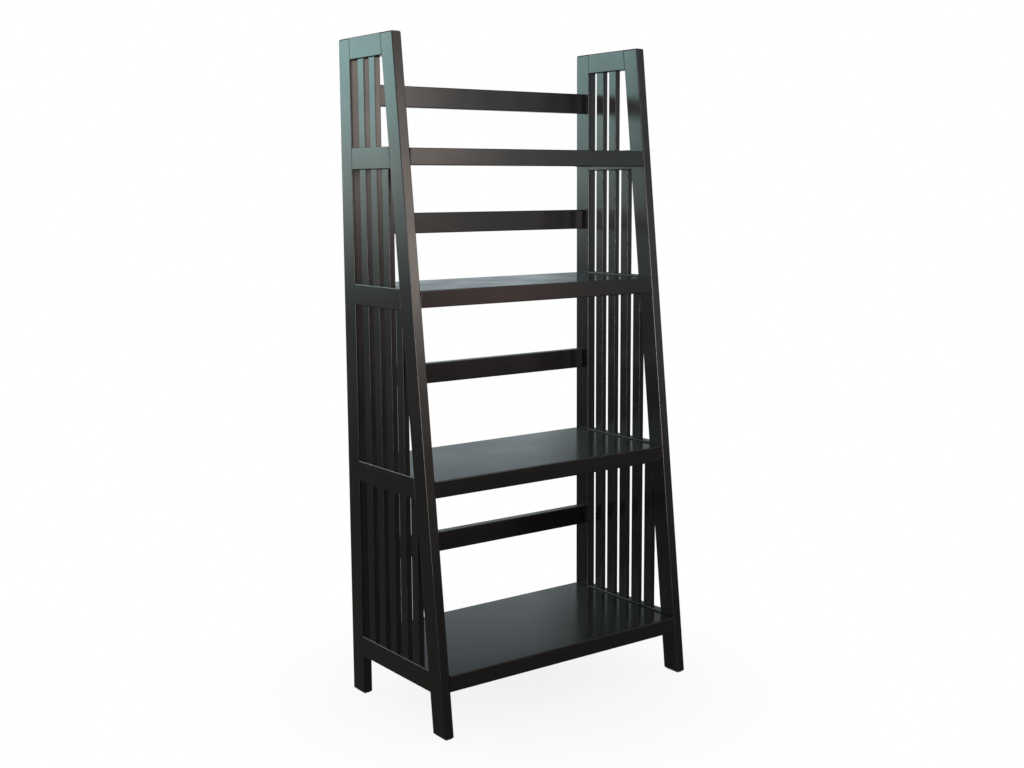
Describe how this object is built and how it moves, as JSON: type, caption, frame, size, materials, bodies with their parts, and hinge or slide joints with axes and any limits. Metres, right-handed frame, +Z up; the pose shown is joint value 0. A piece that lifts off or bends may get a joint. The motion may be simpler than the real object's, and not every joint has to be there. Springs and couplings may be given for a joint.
{
  "type": "folding bookstand rack",
  "caption": "Free-standing slatted bookcase with raked sides, loose lipped shelves on cleats, and hinged back rails that let the sides fold in.",
  "frame": {"origin": "on the floor, under the middle of the rack's width and of its depth at the feet", "axes": "+Z up; the open front faces -Y; +X is to the right for someone who faces the front"},
  "size_m": [0.61, 0.34, 1.305],
  "materials": {
    "frame_lacquer": "espresso-black semi-gloss lacquer on solid wood, edges eased",
    "shelf_lacquer": "espresso-black semi-gloss lacquer, smooth shelf tops",
    "stained_hardwood": "dark stained hardwood, matt",
    "screw_steel": "zinc-plated steel",
    "hinge_brass": "turned brass",
    "hinge_steel": "bright steel"
  },
  "bodies": {
    "rack": {"left_rear_stile": "frame_lacquer", "left_front_stile": "frame_lacquer", "left_top_rail": "frame_lacquer", "right_rear_stile": "frame_lacquer", "right_front_stile": "frame_lacquer", "right_top_rail": "frame_lacquer", "left_side_rail_1": "frame_lacquer", "left_side_rail_2": "frame_lacquer", "left_side_rail_3": "frame_lacquer", "left_side_rail_4": "frame_lacquer", "right_side_rail_1": "frame_lacquer", "right_side_rail_2": "frame_lacquer", "right_side_rail_3": "frame_lacquer", "right_side_rail_4": "frame_lacquer", "left_slat_bay1_1": "frame_lacquer", "left_slat_bay1_2": "frame_lacquer", "left_slat_bay2_1": "frame_lacquer", "left_slat_bay2_2": "frame_lacquer", "left_slat_bay2_3": "frame_lacquer", "left_slat_bay3_1": "frame_lacquer", "left_slat_bay3_2": "frame_lacquer", "left_slat_bay3_3": "frame_lacquer", "left_slat_bay3_4": "frame_lacquer", "left_slat_bay4_1": "frame_lacquer", "left_slat_bay4_2": "frame_lacquer", "left_slat_bay4_3": "frame_lacquer", "left_slat_bay4_4": "frame_lacquer", "left_slat_bay4_5": "frame_lacquer", "right_slat_bay1_1": "frame_lacquer", "right_slat_bay1_2": "frame_lacquer", "right_slat_bay2_1": "frame_lacquer", "right_slat_bay2_2": "frame_lacquer", "right_slat_bay2_3": "frame_lacquer", "right_slat_bay3_1": "frame_lacquer", "right_slat_bay3_2": "frame_lacquer", "right_slat_bay3_3": "frame_lacquer", "right_slat_bay3_4": "frame_lacquer", "right_slat_bay4_1": "frame_lacquer", "right_slat_bay4_2": "frame_lacquer", "right_slat_bay4_3": "frame_lacquer", "right_slat_bay4_4": "frame_lacquer", "right_slat_bay4_5": "frame_lacquer", "back_rail_1": "frame_lacquer", "back_rail_2": "frame_lacquer", "back_rail_3": "frame_lacquer", "back_rail_4": "frame_lacquer", "shelf_cleats": "stained_hardwood", "cleat_screws": "screw_steel", "hinge_barrels": "hinge_brass", "hinge_links": "hinge_steel", "hinge_pins": "hinge_steel"},
    "shelf_1": {"shelf_1_board": "shelf_lacquer", "shelf_1_lip": "shelf_lacquer"},
    "shelf_2": {"shelf_2_board": "shelf_lacquer", "shelf_2_lip": "shelf_lacquer"},
    "shelf_3": {"shelf_3_board": "shelf_lacquer", "shelf_3_lip": "shelf_lacquer"},
    "shelf_4": {"shelf_4_board": "shelf_lacquer", "shelf_4_lip": "shelf_lacquer"}
  },
  "joints": [
    {"name": "shelf_1_pull", "type": "slide", "parent": "rack", "child": "shelf_1", "axis": [0, -1, 0], "range_m": [0, 0.235]},
    {"name": "shelf_2_pull", "type": "slide", "parent": "rack", "child": "shelf_2", "axis": [0, -1, 0], "range_m": [0, 0.265]},
    {"name": "shelf_3_pull", "type": "slide", "parent": "rack", "child": "shelf_3", "axis": [0, -1, 0], "range_m": [0, 0.305]},
    {"name": "shelf_4_pull", "type": "slide", "parent": "rack", "child": "shelf_4", "axis": [0, -1, 0], "range_m": [0, 0.345]}
  ]
}
